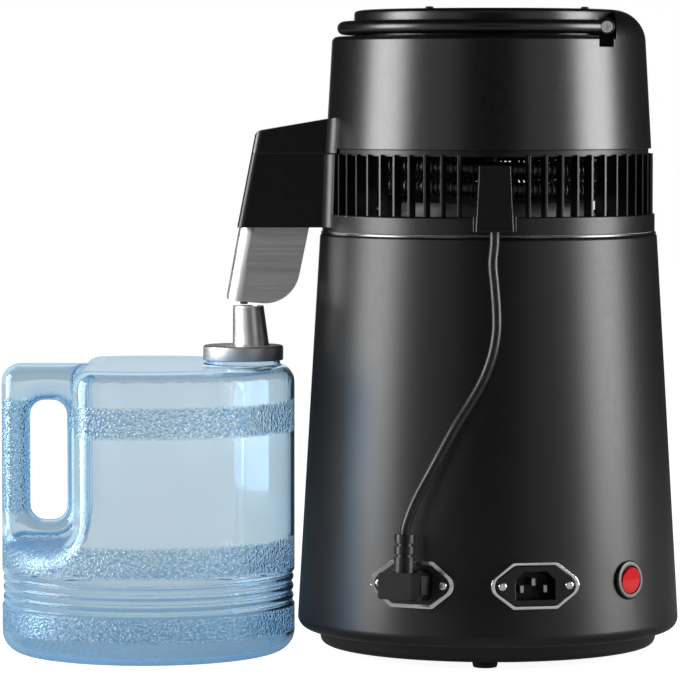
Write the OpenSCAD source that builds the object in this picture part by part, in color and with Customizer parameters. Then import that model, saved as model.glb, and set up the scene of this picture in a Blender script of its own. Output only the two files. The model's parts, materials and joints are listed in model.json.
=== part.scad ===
// Countertop water distiller: a boiler, a lift-off condenser head with a spout, and a collecting jug.
// The spout points to -X and the sockets face -Y. The origin is under the middle of the whole set.

/* [Boiler shell] */
// Outer diameter of the shell near its foot
base_d = 230; // [216:1:244]
// Outer diameter of the shell at the seam under the head
rim_d = 202.8; // [196:0.2:210]
// Height of the seam above the counter
rim_z = 254; // [246:1:266]
// Height of the shell's lower edge above the counter
shell_z = 14.5; // [12:0.5:17]
// Radius of the rolled lower edge
roll_r = 7; // [4:0.5:9]
// Thickness of the painted sheet
sheet = 1.2; // [0.8:0.1:1.6]
// Width of the flange that is turned in at the foot
foot_flange = 16; // [12:0.5:20]

/* [Boiling tank] */
// Distance from the shell's edge at the seam to the inside of the tank
tank_inset = 8.9; // [8.4:0.1:16]
// Inside depth of the tank below the seam
tank_depth = 179; // [168:1:181]
// Steel thickness of the tank
steel = 1; // [0.6:0.1:1.4]
// Radius between the tank's wall and its floor
tank_corner = 12; // [6:1:20]

/* [Heater] */
// Diameter of the aluminium heating plate
plate_d = 116; // [100:1:124]
// Thickness of the heating plate
plate_t = 8; // [6:0.5:10]
// Diameter of the heating element's ring, to the middle of its tube
element_d = 84; // [70:1:90]
// Diameter of the heating element's tube
element_tube_d = 8; // [6:0.5:9]
// Distance of the three tie rods from the axis
rod_ring_r = 68; // [66:1:72]
// Diameter of a tie rod
rod_d = 8; // [7:0.5:9]
// Thickness of the plate that clamps the element
clamp_t = 2; // [1.5:0.5:3]

/* [Base pan] */
// Height of the pan's underside above the counter
pan_z = 5; // [4:0.5:6]
// Wall of the pan
pan_t = 2.5; // [2:0.1:3]
// Diameter of a rubber foot
foot_d = 16; // [12:1:20]
// Distance of the feet from the axis
foot_ring_r = 80; // [76:1:86]

/* [Ports on the shell] */
// Height of the sockets and the switch
port_z = 51.5; // [49:0.5:54]
// Width of a chrome frame
frame_w = 53; // [50:0.5:56]
// Height of a chrome frame
frame_h = 27.5; // [26:0.5:29]
// How far a chrome frame stands off the shell
frame_t = 2; // [1.5:0.1:2.5]
// Width of the chrome rim round the black flange
frame_rim = 2.2; // [1.6:0.1:2.8]
// Angle of the mains inlet, towards +X
inlet_angle = 12; // [11:0.5:13]
// Angle of the outlet for the head
outlet_angle = -24.5; // [-26:0.5:-24]
// Angle of the power switch
switch_angle = 45; // [42:0.5:50]
// Distance between a socket's two screws
screw_pitch = 40; // [39:0.5:41]
// Diameter of the switch bezel
bezel_d = 23; // [22:0.5:26]
// Angle that the rocker turns through
rocker_swing = 20; // [14:1:24]

/* [Head] */
// Height of the head above the seam
head_h = 133; // [130:1:140]
// Height of the plain lip under the vents
lip_h = 10.5; // [9:0.5:12]
// Height of the vent fins
fin_h = 36; // [34:1:38]
// Number of vent fins in a full turn
fin_count = 60; // [48:1:72]
// Thickness of a vent fin
fin_t = 1.5; // [1.2:0.1:2]
// Wall of the moulded head parts
wall = 2.4; // [2:0.1:2.8]
// Height of the top disc above the ledge that carries the handle
ledge_drop = 16; // [15:0.5:18]
// Width of that ledge
ledge_w = 13.2; // [12.8:0.1:14]
// Radius of the raised shoulder behind the handle's pivots
shoulder_r = 20; // [14:1:22]
// Distance from the edge of the top disc to the fan grille
grille_margin = 11.5; // [10:0.5:16]
// Diameter of the carrying handle's bar
bar_d = 8.2; // [7:0.1:8.4]
// Distance from the handle's far end to the line of its pivots
pivot_back = 19.6; // [18:0.2:21]

/* [Spout] */
// Width of the spout housing
spout_w = 58; // [52:1:62]
// Width of the steel nozzle
nozzle_w = 46; // [40:1:48]
// Steel thickness of the nozzle
nozzle_t = 1.4; // [1:0.1:1.8]
// Lean of the spout's front face
spout_lean = 11; // [9:0.5:12]
// Diameter of the outlet tip
tip_d = 4.6; // [4:0.1:5.5]

/* [Condenser and fan] */
// Distance from the vent fins to the middle of the coil's tube
coil_inset = 18; // [15:0.5:22]
// Diameter of the coil's tube
coil_tube_d = 8.4; // [7:0.2:8.8]
// Rise of the coil in one turn
coil_pitch = 12; // [12:0.1:12.4]
// Turns of the coil, always ending in a half turn
coil_turns = 2.5; // [1.5:1:2.5]
// Cooling fins on one turn of the coil
cool_fins = 40; // [24:4:48]
// Diameter of a cooling fin
cool_fin_d = 11.6; // [10.6:0.2:11.8]
// Distance from the edge of the top disc to the fan's tips
fan_inset = 20; // [17:0.5:30]
// Number of fan blades
blade_count = 5; // [3:1:7]
// Diameter of the fan motor
motor_d = 60; // [50:1:66]
// Diameter of the motor's shaft
shaft_d = 4; // [3:0.5:6]

/* [Jug] */
// Diameter of the jug
jug_d = 177; // [165:1:190]
// Height of the jug's body
jug_h = 174; // [168:1:178]
// Wall of the jug
jug_t = 2.2; // [1.8:0.1:3]
// Space between the jug and the shell
jug_gap = 2; // [1:0.5:6]
// Distance from the jug's side to the middle of its neck
neck_inset = 31; // [30:0.5:34]
// Outer diameter of the neck
neck_d = 44; // [42:0.5:46]
// Thickness of the jug's handle
grip_t = 28; // [24:1:34]
// Width of the handle and its window together
grip_zone_w = 46.8; // [44:0.2:50]
// Width of the handle's bar
grip_bar_w = 17; // [15:0.5:19]
// Width of the finger window
window_w = 22.4; // [20:0.2:24]
// Height of the finger window
window_h = 72.5; // [66:0.5:76]
// Height of the window's lower edge above the counter
window_z = 79.5; // [78:0.5:84]
// Height of the three moulded ribs' middle
rib_z = 39.2; // [36:0.2:42]
// Distance from rib to rib
rib_pitch = 5.8; // [5.4:0.1:6.4]

/* [Cap] */
// Diameter of the cap
cap_d = 48.4; // [47:0.2:51]
// Height of the cap
cap_h = 9; // [8:0.5:11]
// Height of the funnel on the cap
funnel_h = 24.4; // [20:0.2:26]
// Diameter of the funnel's mouth
funnel_mouth_d = 18.4; // [17:0.2:20]
// Diameter of the funnel's foot
funnel_foot_d = 22; // [20:0.2:23]

/* [Head cord] */
// Diameter of the cord
cord_d = 5.8; // [5:0.1:6]

/* [Hidden] */
$fn = 96;

// Clearances: between moving pieces, between fixed round pieces, and of a shaft in its bearing
move_gap = 0.4;
fit_gap = 0.2;
run_gap = 0.05;
// Space under the head, where the tank's steel edge shows
seam = 0.5;
// A cut runs this far past the faces that it opens
over = 1;

// Shell and tank
base_r = base_d / 2;
rim_r = rim_d / 2;
foot_z = shell_z + roll_r;
lip_r = base_r - foot_flange;
shell_top = rim_z - steel;
slope = atan((base_r - rim_r) / (rim_z - foot_z));
tank_r = rim_r - tank_inset;
tank_floor = rim_z - tank_depth;
tank_under = tank_floor - steel;
function shell_r(z) = base_r - (z - foot_z) * tan(slope);

// Heater stack under the tank
plate_under = tank_under - plate_t;
element_z = plate_under - element_tube_d / 2 - fit_gap / 2;
clamp_top = element_z - element_tube_d / 2 - fit_gap / 2;
clamp_under = clamp_top - clamp_t;
nut_t = 5;
boss_top = shell_z + 8;
base_screw_d = 4;
screw_bite = 9;
rod_angles = [60, 180, 300];

// Pan and feet
pan_r = lip_r + 3.4;
foot_angles = [-3, 117, 237];
foot_stem_d = 6;

// Ports, in a frame whose Z leaves the shell
socket_w = 30;
socket_h = 20;
socket_depth = 24;
flange_front = frame_t + 0.6;
cavity_depth = 16;
pin_spots = [[-7, -2], [7, -2], [0, 2]];
pin_w = 2;
pin_h = 4;
socket_screw_d = 3;
bezel_t = 2;
rocker_r = 8;
switch_depth = 20;

// Plug and its boot
plug_nose = [24.2, 16.4];
plug_core = [19, 11];
plug_front = flange_front + move_gap;
plug_grip_out = plug_front + 10;
plug_out = plug_front + 24;
boot_z = 13.5;
boot_d = 12;
boot_top = 29.5;

// Head heights
lip_z0 = rim_z + seam;
lip_z1 = lip_z0 + lip_h;
fin_z1 = lip_z1 + fin_h;
band_h = 3;
cover_z0 = fin_z1 + band_h;
top_z = rim_z + head_h;
ledge_z = top_z - ledge_drop;
shelf_z0 = lip_z0 + 1.7;
shelf_z1 = shelf_z0 + 2.8;
hoop_top = cover_z0 + 5;

// Head radii
lip_out_r = rim_r - 1.2;
fin_out_r = rim_r - 2.4;
fin_in_r = rim_r - 9.4;
cover_r0 = rim_r - 3.4;
cover_r1 = rim_r - 7.2;
disc_r = cover_r1 - ledge_w;
cover_taper = (cover_r0 - cover_r1) / (ledge_z - cover_z0);
hoop_out_r = cover_r0 - wall - fit_gap - (hoop_top - cover_z0 + over) * cover_taper;
hoop_t = 5;
bracket_screw_r = hoop_out_r - 2.8;
bar_r = bar_d / 2;
handle_r = disc_r + 2 + bar_r;
handle_z = ledge_z + 1 + bar_r;
pivot_x = handle_r - pivot_back;
handle_angle = acos(pivot_x / handle_r);
pivot_y = sqrt(handle_r * handle_r - pivot_x * pivot_x);
lug_r = bar_r + 0.5;
lug_w = 8;
pivot_screw_d = 4;
pivot_head_r = 3.4;
raised_x = pivot_x + lug_r + 0.9;
grille_screw_angles = [-30, 48, 150, 228];
grille_r = disc_r - grille_margin;
grille_screw_r = grille_r + 4.5;
grille_t = 1.6;

// Jug, cap and outlet tip, worked out from the place of the neck
jug_r = jug_d / 2;
neck_x = jug_r - neck_inset;
cap_axis_x = -(base_r + jug_gap + neck_inset);
jug_axis_x = cap_axis_x - neck_x;
cap_z0 = jug_h + 2.2;
cap_z1 = cap_z0 + cap_h;
funnel_top = cap_z1 + funnel_h;
tip_x = cap_axis_x + 0.5;
tip_z = funnel_top + move_gap;
unit_x = (base_r + jug_gap + jug_d - base_r) / 2;
grip_floor_z = window_z - 12;
neck_top = cap_z1 - 2.4;

// Spout
spout_z0 = rim_z + 3;
spout_front = tip_x - 3.5;
spout_front_top = rim_z + 60.4;
spout_rise = 8;
nozzle_top = spout_z0;
nozzle_spigot = 7;
nozzle_step = 3;
tip_h = 9;
cup_t = 1.6;
nozzle_rear = -(rim_r + 6.6);
nozzle_depth = nozzle_top - tip_z;
nozzle_rake = 9.7;
spigot_front = tip_x + 0.8;
spigot_l = nozzle_rear - 2.7 - spigot_front;

// Condenser and fan
coil_r = fin_in_r - coil_inset;
coil_z1 = fin_z1 + 1;
coil_z0 = coil_z1 - coil_turns * coil_pitch;
coil_tube_r = coil_tube_d / 2;
outlet_drop_x = tip_x + 16.5;
steam_neck_top = shelf_z1 + 21;
bracket_z = hoop_top;
bracket_t = 2.5;
motor_z0 = bracket_z + bracket_t;
motor_h = motor_d / 2;
motor_z1 = motor_z0 + motor_h;
fan_z0 = motor_z1 + 8;
hub_h = 14;
hub_d = 2 * hub_h + 4;
collar_d = shaft_d + 5;
fan_r = disc_r - fan_inset;

// Route of the head's cord, from inside its gland down to inside the plug's boot
gland_y = -(lip_out_r + 5.8);
cord_route_upper = [[89.5, -106, 263], [89.5, -106, 250], [88.5, -107, 238], [89.5, -108, 226],
                    [90.5, -109, 213], [90.5, -110, 199], [88, -111, 185], [83, -112, 171.5],
                    [75.5, -113, 158], [67, -114.5, 144.5], [59.5, -115.5, 131], [52, -115.5, 117]];
cord_route_lower = [[52, -115.5, 117], [44.5, -115.5, 103], [40, -115, 92], [37.8, -114.5, 84],
                    [37.5, -114, 76.5]];

// Sweeping a round tube along points
function unit(v) = v / norm(v);
function tangent(p, i) = unit(p[min(i + 1, len(p) - 1)] - p[max(i - 1, 0)]);
function square_to(v, t) = unit(v - (v * t) * t);
function tube_normals(p, start) =
    [for (i = 0, n = square_to(start, tangent(p, 0)); i < len(p);
          i = i + 1, n = i < len(p) ? square_to(n, tangent(p, i)) : n) n];

module tube(points, radius, sides, start = [0, 1, 0]) {
    count = len(points);
    normals = tube_normals(points, start);
    rings = [for (i = [0 : count - 1])
        let (t = tangent(points, i), u = normals[i], v = cross(t, u))
        for (k = [0 : sides - 1])
            points[i] + radius * (cos(360 * k / sides) * u + sin(360 * k / sides) * v)];
    sides_faces = [for (i = [0 : count - 2], k = [0 : sides - 1])
        let (a = i * sides + k, b = i * sides + (k + 1) % sides)
        each [[a, a + sides, b], [b, a + sides, b + sides]]];
    first_cap = [for (k = [1 : sides - 2]) [0, k, k + 1]];
    last = (count - 1) * sides;
    last_cap = [for (k = [1 : sides - 2]) [last, last + k + 1, last + k]];
    polyhedron(rings, concat(sides_faces, first_cap, last_cap));
}

// An outline whose corners are rounded by true arcs: each point is [x, y] or [x, y, radius]
module rounded_outline(points) {
    count = len(points);
    corners = [for (i = [0 : count - 1])
        let (p = [points[i][0], points[i][1]],
             a = [points[(i + count - 1) % count][0], points[(i + count - 1) % count][1]],
             b = [points[(i + 1) % count][0], points[(i + 1) % count][1]],
             r = len(points[i]) > 2 ? points[i][2] : 0,
             u = unit(a - p), v = unit(b - p),
             half = acos(max(-1, min(1, u * v))) / 2)
        [p, p + u * r / tan(half), p + v * r / tan(half), p + unit(u + v) * r / sin(half), r]];
    polygon([for (c = corners) each c[4] > 0 ? [c[1], c[2]] : [c[0]]]);
    for (c = corners)
        if (c[4] > 0)
            intersection() {
                polygon([c[1], c[0], c[2], c[3]]);
                translate(c[3]) circle(c[4]);
            }
}

module rounded_rect(size, r) {
    w = size[0] / 2;
    h = size[1] / 2;
    rounded_outline([[-w, -h, r], [w, -h, r], [w, h, r], [-w, h, r]]);
}

// Placing: the boiler and head stand on the unit's axis, the jug on its own
module at_unit() { translate([unit_x, 0, 0]) children(); }
module at_jug() { translate([unit_x + jug_axis_x, 0, 0]) children(); }
module at_neck() { at_jug() translate([neck_x, 0, 0]) children(); }
module around(angles) { for (a = angles) rotate(a) children(); }

// A port's frame: X runs round the shell, Y up along it and Z straight out of it
module port(angle) {
    rotate(angle) translate([0, -shell_r(port_z), port_z]) rotate([90 - slope, 0, 0]) children();
}

module shell_core(gap) {
    rotate_extrude()
        polygon([[0, shell_z], [shell_r(shell_z) + gap, shell_z], [shell_r(shell_top) + gap, shell_top],
                 [0, shell_top]]);
}

module outer_shell() {
    thick = sheet / cos(slope);
    color("#1b1b1d") at_unit() difference() {
        rotate_extrude() difference() {
            rounded_outline([[lip_r, shell_z], [shell_r(shell_z), shell_z, roll_r],
                             [shell_r(shell_top), shell_top, 2],
                             [tank_r + steel + fit_gap, shell_top]]);
            rounded_outline([[tank_r - foot_flange, shell_z + sheet],
                             [shell_r(shell_z) - thick, shell_z + sheet, roll_r - sheet],
                             [shell_r(shell_top) - thick, shell_top - sheet, 0.8],
                             [tank_r - foot_flange, shell_top - sheet]]);
        }
        for (a = [inlet_angle, outlet_angle])
            port(a) translate([0, 0, -2 * sheet - over]) linear_extrude(4 * sheet + 2 * over)
                square([socket_w + 2 * fit_gap, socket_h + 2 * fit_gap], center = true);
        port(switch_angle) translate([0, 0, -2 * sheet - over])
            cylinder(r = rocker_r + 2 + fit_gap, h = 4 * sheet + 2 * over);
    }
}

module boiler_tank() {
    out_r = tank_r + steel;
    color("#c9cbcc") at_unit() rotate_extrude() difference() {
        union() {
            rounded_outline([[0, tank_under], [out_r, tank_under, tank_corner + steel],
                             [out_r, rim_z], [0, rim_z]]);
            translate([tank_r, shell_top]) square([rim_r - 0.4 - tank_r, steel]);
        }
        rounded_outline([[-over, tank_floor], [tank_r, tank_floor, tank_corner],
                         [tank_r, rim_z + over], [-over, rim_z + over]]);
        translate([-2 * over, tank_under - over]) square([2 * over, tank_depth + 4 * over]);
    }
}

module heating_plate() {
    color("#b4b7ba") at_unit() translate([0, 0, plate_under]) cylinder(d = plate_d, h = plate_t);
}

module heating_element() {
    color("#8d8a86") at_unit() {
        translate([0, 0, element_z]) rotate_extrude()
            translate([element_d / 2, 0]) circle(d = element_tube_d);
    }
}

module heater_clamp() {
    color("#a9abad") at_unit() translate([0, 0, clamp_under]) difference() {
        cylinder(r = rod_ring_r + rod_d, h = clamp_t);
        translate([0, 0, -over]) cylinder(d = element_d - 3 * element_tube_d, h = clamp_t + 2 * over);
        around(rod_angles) translate([0, -rod_ring_r, -over])
            cylinder(d = rod_d + 2 * fit_gap, h = clamp_t + 2 * over);
    }
}

module tie_rods() {
    color("#9a9c9e") at_unit() around(rod_angles) translate([0, -rod_ring_r, boss_top]) difference() {
        cylinder(d = rod_d, h = tank_under - boss_top);
        translate([0, 0, -over]) cylinder(d = base_screw_d + fit_gap, h = screw_bite + 3 + over);
    }
}

module clamp_nuts() {
    color("#8f9193") at_unit() around(rod_angles)
        translate([0, -rod_ring_r, clamp_under - nut_t]) difference() {
            cylinder(d = rod_d + 7, h = nut_t, $fn = 6);
            translate([0, 0, -over]) cylinder(d = rod_d + 2 * fit_gap, h = nut_t + 2 * over);
        }
}

module thermostats() {
    bead_d = element_d / 2 - 2 * element_tube_d - 3;
    bead_h = 1.75 * plate_t;
    brim_t = 2;
    tab_l = plate_t;
    color("#d8d2c4") at_unit() for (side = [-1, 1])
        translate([side * (bead_d / 2 + 1), 0, plate_under - bead_h]) {
            cylinder(d = bead_d * 0.8, h = bead_h - brim_t);
            translate([0, 0, bead_h - brim_t]) cylinder(d = bead_d, h = brim_t);
            for (tab = [-1, 1]) translate([tab * 3 - 0.4, -2, -tab_l]) cube([0.8, 4, tab_l + over]);
        }
}

module base_pan() {
    spigot_r = lip_r - fit_gap;
    spigot_top = shell_z + 6;
    color("#141415") at_unit() difference() {
        union() {
            rotate_extrude() difference() {
                union() {
                    rounded_outline([[0, pan_z], [pan_r - 1.8, pan_z, 4], [pan_r, shell_z], [0, shell_z]]);
                    translate([0, pan_z + pan_t]) square([spigot_r, spigot_top - pan_z - pan_t]);
                }
                translate([-over, pan_z + pan_t]) square([spigot_r - pan_t + over, spigot_top]);
            }
            around(rod_angles) translate([0, -rod_ring_r, pan_z]) cylinder(r = 8, h = boss_top - pan_z);
        }
        around(rod_angles) translate([0, -rod_ring_r, pan_z - over]) {
            cylinder(d = base_screw_d + 2 * fit_gap, h = boss_top);
            cylinder(r = base_screw_d + fit_gap, h = 4 + over);
        }
        around(foot_angles) translate([0, -foot_ring_r, pan_z - over])
            cylinder(d = foot_stem_d + 2 * fit_gap, h = pan_t + 2 * over);
        for (x = [-40 : 10 : 40]) translate([x, 0, pan_z - over]) linear_extrude(pan_t + 2 * over)
            rounded_rect([4, 60 - abs(x)], 1.9);
    }
}

module rubber_feet() {
    color("#0c0c0c") at_unit() around(foot_angles) translate([0, -foot_ring_r, 0]) {
        rotate_extrude() rounded_outline([[0, 0], [foot_d / 2 - 1, 0, 1], [foot_d / 2, pan_z], [0, pan_z]]);
        cylinder(d = foot_stem_d, h = pan_z + pan_t + 1);
        translate([0, 0, pan_z + pan_t]) cylinder(d1 = foot_stem_d + 2, d2 = foot_stem_d, h = 3);
    }
}

module base_screws() {
    color("#9d9fa1") at_unit() around(rod_angles) translate([0, -rod_ring_r, pan_z + 1.4]) {
        cylinder(r = base_screw_d, h = 2.6);
        cylinder(d = base_screw_d, h = boss_top - pan_z + screw_bite);
    }
}

// The six-sided plate of a socket, with rounded tips left and right
module socket_outline(w, h, tip) {
    flat = w / 4;
    rounded_outline([[-flat, -h / 2, 3], [flat, -h / 2, 3], [w / 2 + tip * 0.62, 0, tip],
                     [flat, h / 2, 3], [-flat, h / 2, 3], [-w / 2 - tip * 0.62, 0, tip]]);
}
module frame_outline() { socket_outline(frame_w, frame_h, 7); }
module flange_outline(gap) {
    cut = 2 * (frame_rim + gap);
    socket_outline(frame_w - cut, frame_h - cut, 6);
}
module seated(angle, front) {
    difference() {
        port(angle) translate([0, 0, -6]) linear_extrude(front + 6) children();
        shell_core(fit_gap / 2);
    }
}
module socket_frame(angle) {
    color("#dcdee0") at_unit() seated(angle, frame_t) difference() {
        frame_outline();
        flange_outline(0);
    }
}
module inlet_frame() { socket_frame(inlet_angle); }
module outlet_frame() { socket_frame(outlet_angle); }

module socket_block(angle) {
    seated(angle, flange_front) flange_outline(fit_gap);
    port(angle) translate([0, 0, -socket_depth]) linear_extrude(socket_depth + frame_t) intersection() {
        square([socket_w, socket_h], center = true);
        flange_outline(fit_gap);
    }
}
module socket_screw_holes(d) {
    for (side = [-1, 1]) translate([side * screw_pitch / 2, 0, -8]) cylinder(d = d, h = 20);
}
module pins(z0, z1, grow) {
    for (spot = pin_spots) translate([spot[0], spot[1], z0]) linear_extrude(z1 - z0)
        square([pin_w + grow, pin_h + grow], center = true);
}

module mains_inlet() {
    color("#111112") at_unit() difference() {
        socket_block(inlet_angle);
        port(inlet_angle) {
            translate([0, 0, -cavity_depth]) linear_extrude(cavity_depth + flange_front + over)
                polygon([[-12, -8.2], [12, -8.2], [12, 3.2], [7, 8.2], [-7, 8.2], [-12, 3.2]]);
            pins(-socket_depth - over, 0, 2 * run_gap);
            socket_screw_holes(socket_screw_d + 2 * fit_gap);
        }
    }
}
module inlet_pins() {
    color("#c4a85e") at_unit() port(inlet_angle) pins(-socket_depth - 7, -2.5, 0);
}

module head_outlet() {
    color("#111112") at_unit() difference() {
        socket_block(outlet_angle);
        port(outlet_angle) {
            translate([0, 0, -cavity_depth]) linear_extrude(cavity_depth + flange_front + over) difference() {
                rounded_rect(plug_nose + [2, 2] * move_gap, 3);
                square(plug_core, center = true);
            }
            translate([0, 0, frame_t - 1.6]) linear_extrude(6) square(plug_core + [0.5, 0.5], center = true);
            pins(2.5 - cavity_depth, flange_front + over, 2 * move_gap);
            socket_screw_holes(socket_screw_d + 2 * fit_gap);
        }
    }
}

module socket_screws() {
    color("#cfd1d3") at_unit() for (a = [inlet_angle, outlet_angle]) port(a) for (side = [-1, 1])
        translate([side * screw_pitch / 2, 0, 0]) difference() {
            union() {
                translate([0, 0, -1]) cylinder(d = socket_screw_d, h = flange_front + 1);
                translate([0, 0, flange_front]) rotate_extrude()
                    rounded_outline([[0, 0], [2.5, 0], [2.5, 1.4, 1], [0, 1.4]]);
            }
            for (turn = [0, 90]) rotate(turn) translate([-1.5, -0.3, flange_front + 0.7]) cube([3, 0.6, 2]);
        }
}

module switch_bezel() {
    tube_r = rocker_r + 2;
    color("#131314") at_unit() difference() {
        union() {
            difference() {
                port(switch_angle) translate([0, 0, -5]) rotate_extrude()
                    rounded_outline([[0, 0], [bezel_d / 2, 0], [bezel_d / 2, bezel_t + 5, 1.2],
                                     [0, bezel_t + 5]]);
                shell_core(fit_gap / 2);
            }
            port(switch_angle) translate([0, 0, -switch_depth]) cylinder(r = tube_r, h = switch_depth + 1);
        }
        port(switch_angle) {
            translate([0, 0, -switch_depth + 3]) cylinder(r = rocker_r + move_gap, h = switch_depth + 5);
            rotate([0, 90, 0]) cylinder(d = 2.4 + 2 * run_gap, h = 3 * rocker_r, center = true);
        }
    }
}

module switch_rocker() {
    up = 13;
    down = rocker_swing - up;
    edge = rocker_r + over;
    color("#d0121b") at_unit() port(switch_angle) {
        intersection() {
            rotate_extrude() intersection() {
                circle(r = rocker_r);
                translate([0, -rocker_r]) square([rocker_r, 2 * rocker_r]);
            }
            rotate([90, 0, 90]) translate([0, 0, -edge]) linear_extrude(2 * edge)
                polygon([[-edge, -5], [edge, -5], [edge, 2.2 + edge * tan(up)], [0, 2.2],
                         [-edge, 2.2 - edge * tan(down)]]);
        }
        rotate([0, 90, 0]) cylinder(d = 2.4, h = 2 * rocker_r + 2.6, center = true);
    }
}

module head_plug() {
    color("#0f0f10") at_unit() port(outlet_angle) difference() {
        union() {
            translate([0, 0, -cavity_depth + 2]) linear_extrude(plug_front + cavity_depth - 1)
                rounded_rect(plug_nose, 2.6);
            translate([0, 0, plug_front]) linear_extrude(plug_grip_out - plug_front)
                rounded_rect([22, 18], 5);
            for (i = [0 : 3], side = [-1, 1])
                translate([side * 10.6, 0, plug_front + 1.4 + i * 2.4]) rotate([90, 0, 0])
                    cylinder(d = 1.6, h = 11, center = true);
            translate([0, 0, plug_grip_out - over]) linear_extrude(plug_out - plug_grip_out + over)
                rounded_rect([21, 15.6], 2);
            translate([0, 0, boot_z]) rotate([-90, 0, 0]) cylinder(d = boot_d, h = boot_top);
        }
        translate([0, 0, -cavity_depth]) linear_extrude(cavity_depth + 1)
            square(plug_core + [2, 2] * move_gap, center = true);
        pins(0, plug_front + 2, 2 * run_gap);
        for (y = [16.4, 22.6]) translate([0, y, boot_z]) rotate([-90, 0, 0]) difference() {
            cylinder(d = boot_d + over, h = 1.8);
            translate([0, 0, -over]) cylinder(d = boot_d - 2.6, h = 1.8 + 2 * over);
        }
        translate([0, boot_top - 8, boot_z]) rotate([-90, 0, 0]) cylinder(d = cord_d + 1.8, h = 8 + over);
    }
}
module plug_pins() {
    color("#c4a85e") at_unit() port(outlet_angle) pins(4 - cavity_depth, plug_front + 2, 0);
}

module cord_lower() { color("#0d0d0e") tube(cord_route_lower, cord_d / 2, 10); }
module cord_upper() { color("#0d0d0e") tube(cord_route_upper, cord_d / 2, 10); }

// The spout housing: a side outline crossed with a plan whose front corners are round
module spout_form(z0, z1, inset) {
    front = spout_front + inset / cos(spout_lean);
    back = -fin_in_r + 4;
    reach = 40;
    corner = max(0.8, 4 - inset);
    intersection() {
        rotate([90, 0, 0]) translate([0, 0, -spout_w / 2 + inset]) linear_extrude(spout_w - 2 * inset)
            rounded_outline([[front, spout_z0], [front + (spout_front_top - inset - spout_z0) * tan(spout_lean),
                              spout_front_top - inset, corner],
                             [back, spout_front_top - inset + (back - front) * tan(spout_rise)],
                             [back, spout_z0]]);
        translate([front, 0, spout_z0]) rotate([0, spout_lean, 0]) translate([0, 0, -reach])
            linear_extrude(3 * reach) rounded_outline([[0, -spout_w / 2 + inset, corner], [3 * reach, -spout_w / 2 + inset],
                                                       [3 * reach, spout_w / 2 - inset], [0, spout_w / 2 - inset, corner]]);
        translate([-300, -reach, z0]) cube([300, 2 * reach, z1 - z0]);
    }
}

edge_r = 3;
module cover_body(inset) {
    foot = inset > 0 ? cover_z0 - over : cover_z0;
    crown_r = cover_r0 - (top_z - cover_z0) * cover_taper;
    rotate_extrude() rounded_outline([[0, foot], [cover_r0 - inset, foot],
        [crown_r - inset, top_z - inset, shoulder_r - inset], [0, top_z - inset]]);
}
// What is cut away over the ledge, all the way round except behind the pivots
module ledge_cut() {
    far = cover_r0 + 20;
    outer_edge = [for (a = [90 : -22.5 : 20]) [cover_r1 - edge_r, ledge_z - edge_r] + edge_r * [cos(a), sin(a)]];
    inner_edge = [for (a = [0 : 22.5 : 90]) [disc_r - edge_r, top_z - edge_r] + edge_r * [cos(a), sin(a)]];
    rotate_extrude() polygon(concat([[disc_r, ledge_z]], outer_edge,
        [[cover_r1 + edge_r, ledge_z - 2 * edge_r], [far, ledge_z - 2 * edge_r], [far, top_z + 5],
         [disc_r - 2 * edge_r, top_z + 5], [disc_r - 1.5 * edge_r, top_z + 0.5]], [for (i = [4 : -1 : 0]) inner_edge[i]]));
}
module ledge_ring(grow) {
    translate([0, 0, ledge_z - grow]) difference() {
        cylinder(r = cover_r0 + 20, h = 2 * ledge_drop);
        translate([0, 0, -over]) cylinder(r = disc_r - grow, h = 3 * ledge_drop);
    }
}
module beyond(x) { translate([x, -200, 0]) cube([400, 400, 2 * top_z]); }
module pivot_notch(grow) {
    inner = pivot_y - 3 - grow;
    for (side = [0, 1]) mirror([0, side, 0])
        translate([pivot_x - 5 - grow, inner, ledge_z - 6.6 - grow])
            cube([8.9 + 2 * grow, cover_r0 - inner, 6.6 + grow + over]);
}

module head_cover() {
    boss_y = pivot_y - lug_w / 2 - move_gap;
    color("#18181a") at_unit() difference() {
        union() {
            difference() {
                cover_body(0);
                difference() { ledge_cut(); beyond(raised_x); }
            }
            spout_form(fin_z1, top_z, 0);
            for (side = [0, 1]) mirror([0, side, 0])
                translate([pivot_x, boss_y - 9, handle_z]) rotate([-90, 0, 0]) cylinder(r = 5.6, h = 9);
        }
        difference() {
            cover_body(wall);
            difference() { ledge_ring(wall); beyond(raised_x + wall); }
            pivot_notch(wall);
        }
        spout_form(fin_z1 - over, top_z, wall);
        translate([0, 0, fin_z1 - over]) cylinder(r = hoop_out_r + 1.2 + fit_gap, h = band_h + over);
        pivot_notch(0);
        translate([0, 0, top_z - 2 * wall]) cylinder(r = grille_r - 3, h = 3 * wall);
        translate([0, 0, top_z - grille_t]) cylinder(r = grille_r + fit_gap, h = 2 * wall);
        around(grille_screw_angles) translate([0, -grille_screw_r, top_z - 2 * wall])
            cylinder(d = 2 + 2 * fit_gap, h = 3 * wall);
        for (side = [0, 1]) mirror([0, side, 0])
            translate([pivot_x, boss_y - 8, handle_z]) rotate([-90, 0, 0])
                cylinder(d = pivot_screw_d + 2 * fit_gap, h = 8 + over);
    }
}

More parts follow.
